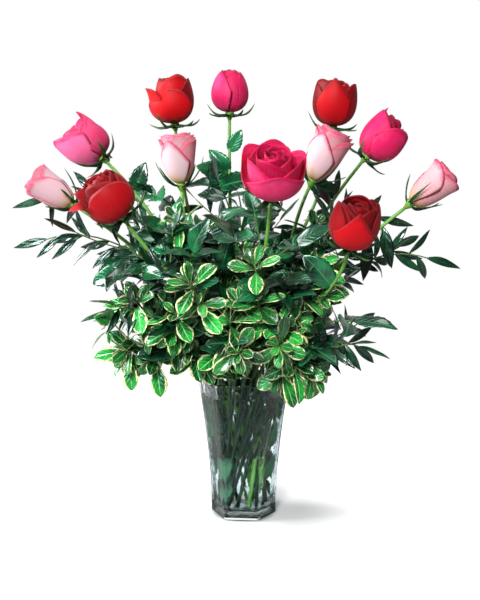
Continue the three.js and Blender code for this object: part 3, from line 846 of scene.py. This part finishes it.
def pittosporum(number):
    """A spray of crowded leaves: every third side twig is long and rises."""
    name = f"pittosporum_{number:02d}"
    rng = random.Random(100 + number)
    build = Build()
    bend = main_twig(build, name, 0.25, 18, 2.09 * MM, 1.235 * MM, rng)
    rosette(build, bend, 11, rng)
    spread_leaf(build, "pittosporum", bend, 0.99, pi / 2, 0.05, 44 * MM, 20 * MM, rng)
    for i in range(9):
        reach, rise = (rng.uniform(28, 52), 0.15) if i % 3 else (rng.uniform(70, 105), 0.7)
        twig = side_twig(bend, 0.1 + 0.1 * i, GOLDEN_ANGLE * i + number, reach * MM, rise)
        tube(build, twig, 1.1 * MM, 6, along=0.9)
        rosette(build, twig, 8, rng)
    for i in range(10):
        spread_leaf(build, "pittosporum", bend, 0.06 + 0.09 * i, GOLDEN_ANGLE * i, 1.0, 40 * MM, 18 * MM, rng)
    build.piece(f"{name}_spray", "pittosporum", [TWIG, PITTOSPORUM_LEAF, WET_LEAF], [name])


def frond(build, line, count, rng):
    """Ruscus leaves in two rows along a twig, and one at its end."""
    spread_leaf(build, "ruscus", line, 0.99, pi / 2, 0.03, 54 * MM, 12 * MM, rng, droop=0.15)
    for i in range(1, count):
        azimuth = radians(rng.uniform(40, 130) + 180 * (i % 2))
        lean = radians(rng.uniform(30, 56))
        at = 1 - 0.86 * (i + rng.uniform(-0.3, 0.3)) / count
        spread_leaf(build, "ruscus", line, at, azimuth, lean, 46 * MM, 11 * MM, rng, upward=0.1, droop=0.6)


def ruscus(number):
    """An arching spray of narrow leaves: its side twigs are longer towards its end."""
    name = f"ruscus_{number:02d}"
    rng = random.Random(200 + number)
    build = Build()
    bend = main_twig(build, name, 0.35, 24, 1.725 * MM, 0.825 * MM, rng)
    frond(build, bend, 17, rng)
    for i in range(4):
        azimuth = i * pi + rng.uniform(-0.3, 0.3)
        twig = side_twig(bend, 0.3 + 0.13 * i, azimuth, (54 + 10 * i) * MM, -0.1)
        tube(build, twig, 0.9 * MM, 6, along=0.9)
        frond(build, twig, 6, rng)
    build.piece(f"{name}_spray", "ruscus", [TWIG, RUSCUS_LEAF, WET_LEAF], [name])


def hanging_leaves(rose):
    """A pair of narrow leaves that hang from the stem close under the head."""
    rng = random.Random(12)
    build = Build()
    for place, lean in ((-6, -0.1), (-4, 0.2)):
        start = rose.bend[place]
        add_leaf(build, "ruscus", start, np.array([lean, -0.2, -1]), FRONT, 60 * MM, 18 * MM, rng, droop=0.2)
    build.piece(f"{rose.name}_hanging_leaves", "ruscus", [TWIG, RUSCUS_LEAF])


# Single leaves higher up: the rose's number, the height on its stem, the direction and the length, in mm.
HIGH_LEAVES = [
    (2, 515, (0.6, -0.3, 1.0), 38), (2, 490, (-0.8, -0.3, 0.9), 46), (2, 480, (-1.0, -0.3, 0.1), 52),
    (2, 465, (-0.7, -0.3, -0.5), 44), (10, 450, (-1.0, -0.3, 0.3), 50), (10, 430, (-0.6, -0.4, -1.0), 48),
    (4, 455, (0.4, -0.3, 1.0), 46), (8, 330, (-0.7, -0.8, -1.0), 66), (4, 330, (0.5, -0.8, -0.8), 60),
    (11, 330, (-0.6, -0.5, 0.7), 60),
]


def high_leaf(number, rose, height, direction, length):
    """One rose leaflet on its own at a height on the stem."""
    rng = random.Random(400 + number)
    build = Build()
    start = rose.bend[np.abs(rose.bend[:, 2] - height).argmin()]
    add_leaf(build, "rose", start, np.array(direction), FRONT, length, 0.62 * length, rng)
    build.piece(f"high_leaf_{number}", "rose_leaf", [STEM, ROSE_LEAF])


# The rose stems are bare above this height, and where they have reached this far to the left or right.
TOP_OF_LEAVES = 365 * MM
LEFT_OF_LEAVES = -105 * MM
RIGHT_OF_LEAVES = 70 * MM


def compound_leaf(build, start, tip, rng, size=1.0):
    """A rose leaf: an arched stalk with a leaflet at its end and two pairs below."""
    direction = unit(tip - start)
    length = norm(tip - start) - 46 * MM * size
    t = np.linspace(0, 1, 9)[:, None]
    line = start + direction * length * t + UP * 0.24 * length * t * (1 - t)
    tube(build, line, 1.1 * MM, 6, along=0.6)
    spread_leaf(build, "rose", line, 0.99, pi / 2, 0.05, 50 * MM * size, 30 * MM * size, rng)
    for place, share in ((0.42, 0.8), (0.9, 0.92)):
        length = 50 * MM * size * share
        for azimuth in (0, pi):
            spread_leaf(build, "rose", line, place, azimuth, radians(64), length, 0.6 * length, rng)


def rose_leaves(rose):
    """The leaves low on the stem, and the compound leaf where the CAD model has one of its own."""
    rng = random.Random(300 + rose.seed)
    build = Build()
    step = 1 if rose.mouth[0] < 0 else 2
    for i in range(2, len(rose.bend) - 4, step):
        start = rose.bend[i]
        if start[2] > TOP_OF_LEAVES or not LEFT_OF_LEAVES < start[0] < RIGHT_OF_LEAVES:
            break
        along, _, out = directions(rose.bend, i, pi - GOLDEN_ANGLE * i - rose.seed)
        direction = unit(0.8 * along + out + rng.uniform(-0.3, 0.5) * UP)
        compound_leaf(build, start, start + direction * rng.uniform(90, 125) * MM, rng)
    leaves_in_vase(build, np.array([rose.foot, rose.mouth]), (0.2, 0.4, 0.55, 0.7, 0.85, 0.95), rng)
    replaced = []
    node = f"{rose.name}_leaf"
    if node in frame["nodes"]:
        replaced = [node]
        points = vertices(node)
        gaps = norm(points[:, None] - rose.bend[None], axis=2)
        start = rose.bend[gaps.min(axis=0).argmin()]
        tip = points[norm(points - start, axis=1).argmax()]
        compound_leaf(build, start, tip, rng, 1.25)
    build.piece(f"{rose.name}_leaves", "rose_leaf", [STEM, ROSE_LEAF, WET_LEAF], replaced)


# ---------------- vase and water

# The vase's shape, as the CAD model has it: corner radii, flare, walls and how flat the panels are.
FOOT_RADIUS = 45.8 * MM
RIM_RADIUS = 65.5 * MM
FLARE_POWER = 1.75
FLOOR = 12 * MM
WALL_AT_FOOT = 5 * MM
WALL_AT_RIM = 3 * MM
FLOOR_ROUNDING = 6 * MM
RIM_ROUNDING = 1.5 * MM
CUT_DEPTH = 1.6 * MM
PANELS = 6
PANEL_STRENGTH_FOOT = 1.0
PANEL_STRENGTH_RIM = 0.55
VASE_TURN = radians(-5)
VASE_SEGMENTS = 144

# Under the foot, the rings of its hollow, and then those of its ground edge as heights and insets in mm.
HOLLOW_RINGS = 6
GROUND_RINGS = [(0.2, 8), (0.2, 3), (0.5, 1.2), (2, 0.2)]


def vase_ring(height, inset, cut=0.0):
    """A ring of the vase's wall at a height, so far inside its outer face, with its panels cut so deep."""
    share = height / RIM
    corner = FOOT_RADIUS + (RIM_RADIUS - FOOT_RADIUS) * share ** FLARE_POWER
    azimuth = np.arange(VASE_SEGMENTS) * 2 * pi / VASE_SEGMENTS
    sector = 2 * pi / PANELS
    from_flat = np.mod(azimuth, sector) - sector / 2
    flat = cos(sector / 2) / np.cos(from_flat)
    strength = PANEL_STRENGTH_FOOT + (PANEL_STRENGTH_RIM - PANEL_STRENGTH_FOOT) * share
    radius = (corner - inset) * (1 - strength * (1 - flat))
    hollow = np.clip(1 - (from_flat / (0.42 * sector)) ** 2, 0, 1)
    radius = radius - cut * hollow * smooth(share, 0.06, 0.16) * (1 - smooth(share, 0.82, 0.95))
    turn = azimuth + VASE_TURN
    return np.stack([radius * np.cos(turn), radius * np.sin(turn), np.full(VASE_SEGMENTS, height)], axis=-1)


def wall_at(height):
    return WALL_AT_FOOT + (WALL_AT_RIM - WALL_AT_FOOT) * height / RIM


def inside_radius(height, azimuth):
    """How far the inside of the vase is from its axis."""
    ring = vase_ring(height, wall_at(height))
    segment = round((azimuth - VASE_TURN) * VASE_SEGMENTS / (2 * pi)) % VASE_SEGMENTS
    return norm(ring[segment, :2])


def floor_corner(turn, overlap=0.0):
    """A ring of the rounded corner between the inside of the wall and the floor, from the wall downwards."""
    height = FLOOR + FLOOR_ROUNDING * (1 - sin(turn)) - overlap
    return vase_ring(height, WALL_AT_FOOT + FLOOR_ROUNDING * (1 - cos(turn)) - overlap)


def vase():
    """The glass: a hollow foot, six cut panels, a fire-polished rim and a thick floor, rounded inside."""
    rings = [vase_ring(1.6 * MM, inset) for inset in np.linspace(1, 0.25, HOLLOW_RINGS) * FOOT_RADIUS]
    rings += [vase_ring(height * MM, inset * MM) for height, inset in GROUND_RINGS]
    rings += [vase_ring(height, 0, CUT_DEPTH) for height in np.linspace(4 * MM, RIM - 2 * MM, 40)]
    for turn in np.linspace(0, pi, 7)[1:-1]:
        height = RIM - RIM_ROUNDING + RIM_ROUNDING * sin(turn)
        rings.append(vase_ring(height, RIM_ROUNDING * (1 - cos(turn))))
    inside = np.linspace(RIM - 2 * MM, FLOOR + FLOOR_ROUNDING, 30)
    rings += [vase_ring(height, wall_at(height)) for height in inside]
    rings += [floor_corner(turn) for turn in np.linspace(0, pi / 2, 6)[1:]]
    rings += [vase_ring(FLOOR, inset) for inset in np.linspace(0.4, 1, 5) * FOOT_RADIUS]
    # The ground rings carry the edge's painted highlight and painted shade.
    ground = range(HOLLOW_RINGS, HOLLOW_RINGS + len(GROUND_RINGS))
    closed_rings("vase_glass", "vase", [GLASS, PAINTED_LIGHT_EDGE], rings, ["vase"], ground)


def water():
    """The water climbs at its edge, and reaches a little into the wall so that no film of air shows."""
    overlap = 0.4 * MM
    sides = np.linspace(FLOOR + FLOOR_ROUNDING, WATER_LEVEL, 20)
    rings = [vase_ring(FLOOR - overlap, inset) for inset in np.linspace(1, 0.4, 5) * FOOT_RADIUS]
    rings += [floor_corner(turn, overlap) for turn in np.linspace(pi / 2, 0, 6)[:-1]]
    rings += [vase_ring(height, wall_at(height) - overlap) for height in sides]
    rings.append(vase_ring(WATER_LEVEL + 1.2 * MM, wall_at(WATER_LEVEL) - overlap))
    rings.append(vase_ring(WATER_LEVEL + 0.3 * MM, wall_at(WATER_LEVEL) + 1.5 * MM))
    rings += [vase_ring(WATER_LEVEL, inset) for inset in np.linspace(0.2, 1, 6) * FOOT_RADIUS + 4 * MM]
    closed_rings("vase_water", "water", [WATER], rings, ["water"])


def closed_rings(name, slot, materials, rings, replaces, second=()):
    """A closed surface through rings, shut at both ends, with the second material on some rows of faces."""
    build = Build(values=())
    grid = np.array(rings)
    grid[0, :, :2] = 0
    grid[-1, :, :2] = 0
    build.add(grid, grid_faces(len(rings), VASE_SEGMENTS, wrap=True))
    for row in second:
        build.finishes[row * VASE_SEGMENTS:(row + 1) * VASE_SEGMENTS] = [1] * VASE_SEGMENTS
    weld = build.piece(name, slot, materials, replaces).modifiers.new("weld", "WELD")
    weld.merge_threshold = 0.01 * MM


# ---------------- the whole arrangement

vase()
water()
for rose, (form, front, pale) in zip(roses, BLOOMS):
    bloom(rose, form, front, pale)
    calyx(rose, form in ("slim", "crowned"))
    stem(rose)
    rose_leaves(rose)
hanging_leaves(roses[-1])
for number, (rose_number, height, direction, length) in enumerate(HIGH_LEAVES):
    high_leaf(number, roses[rose_number - 1], height * MM, direction, length * MM)
for number in range(1, PITTOSPORUM_SPRAYS + 1):
    pittosporum(number)
for number in range(1, RUSCUS_SPRAYS + 1):
    ruscus(number)


# ---------------- stage

FLOOR_HALF = 1.2
WHITE = (1, 1, 1, 1)
PALE = (0.8, 0.8, 0.8, 1)
# Painted contact shadow under the foot.
PAINTED_CONTACT_SHADOW = (0.2, 0.22, 0.22, 1)
BOUNCED = (0.35, 0.35, 0.35, 1)
# How strongly the floor glows away from the vase: painted light.
PAINTED_FLOOR_GLOW = 0.6

# The light from the white wall behind, and from the darker rest of the room.
WALL_LIGHT = 0.45
ROOM_LIGHT = 0.1


def floor():
    """A white floor with a painted contact shadow under the foot, a painted glow away from the vase that
    hides cast shadows there, and grey in bounced light.
    """
    corners = [(x * FLOOR_HALF, y * FLOOR_HALF, 0) for x, y in ((-1, -1), (1, -1), (1, 1), (-1, 1))]
    mesh = bpy.data.meshes.new("floor")
    mesh.from_pydata(corners, [], [(0, 1, 2, 3)])
    finish = Finish("floor", Roughness=0.9)
    place = finish.node("TexCoord").outputs["Object"]
    far = finish.node("VectorMath", {0: place}, operation="LENGTH").outputs["Value"]
    # Painted contact shadow: the floor's own colour is dark under and just round the foot.
    finish.colour(finish.blend(finish.step(far, 36 * MM, 50 * MM), PAINTED_CONTACT_SHADOW, PALE))
    # Painted glow: away from the vase the floor emits light for the camera, which hides cast shadows there.
    strength = finish.scaled(finish.step(far, 75 * MM, 200 * MM), PAINTED_FLOOR_GLOW)
    lift = finish.node("Emission", {"Color": WHITE, "Strength": strength})
    white = finish.node("AddShader", {0: finish.shader.outputs[0], 1: lift.outputs[0]})
    grey = finish.node("BsdfDiffuse", {"Color": BOUNCED})
    finish.surface(finish.seen(), grey, white)
    mesh.materials.append(finish.material)
    new_object("floor", mesh)


def aimed(name, data, place, target):
    """A lamp or camera at a place, turned to its target."""
    made = new_object(name, data)
    made.location = place
    made.rotation_euler = (Vector(target) - Vector(place)).to_track_quat("-Z", "Y").to_euler()
    return made


def area_light(name, place, target, size, power):
    data = bpy.data.lights.new(name, "AREA")
    data.shape = "DISK"
    data.size = size
    data.energy = power
    aimed(name, data, place, target)


def studio():
    """The floor, the light of the room, which the camera sees as white, and three soft lamps."""
    floor()
    world = bpy.data.worlds.new("studio")
    world.use_nodes = True
    nodes = Nodes(world.node_tree, "World Output")
    way = nodes.node("TexCoord").outputs["Generated"]
    behind = nodes.node("SeparateXYZ", {0: way}).outputs["Y"]
    strength = nodes.step(behind, 0.55, 0.95, ROOM_LIGHT, WALL_LIGHT)
    room = nodes.node("Background", {"Color": WHITE, "Strength": strength})
    white = nodes.node("Background", {"Color": WHITE})
    nodes.surface(nodes.seen(), room, white)
    bpy.context.scene.world = world
    area_light("left", (-1.6, 0.0, 1.1), (0, 0, 0.3), size=1.1, power=54)
    area_light("front", (-0.5, -2.1, 1.45), (0, 0, 0.35), size=0.8, power=70)
    area_light("top", (0, 0.1, 2.4), (0, 0, 0), size=1.2, power=18)
    bpy.context.scene.view_settings.view_transform = "Standard"


def camera():
    """The camera stands 1.2 m in front, well above the vase's rim, and looks slightly down."""
    data = bpy.data.cameras.new("camera")
    data.lens = 51.7
    bpy.context.scene.camera = aimed("camera", data, (-0.005, -1.2, 0.43), (-0.005, 0, 0.305))


studio()
camera()
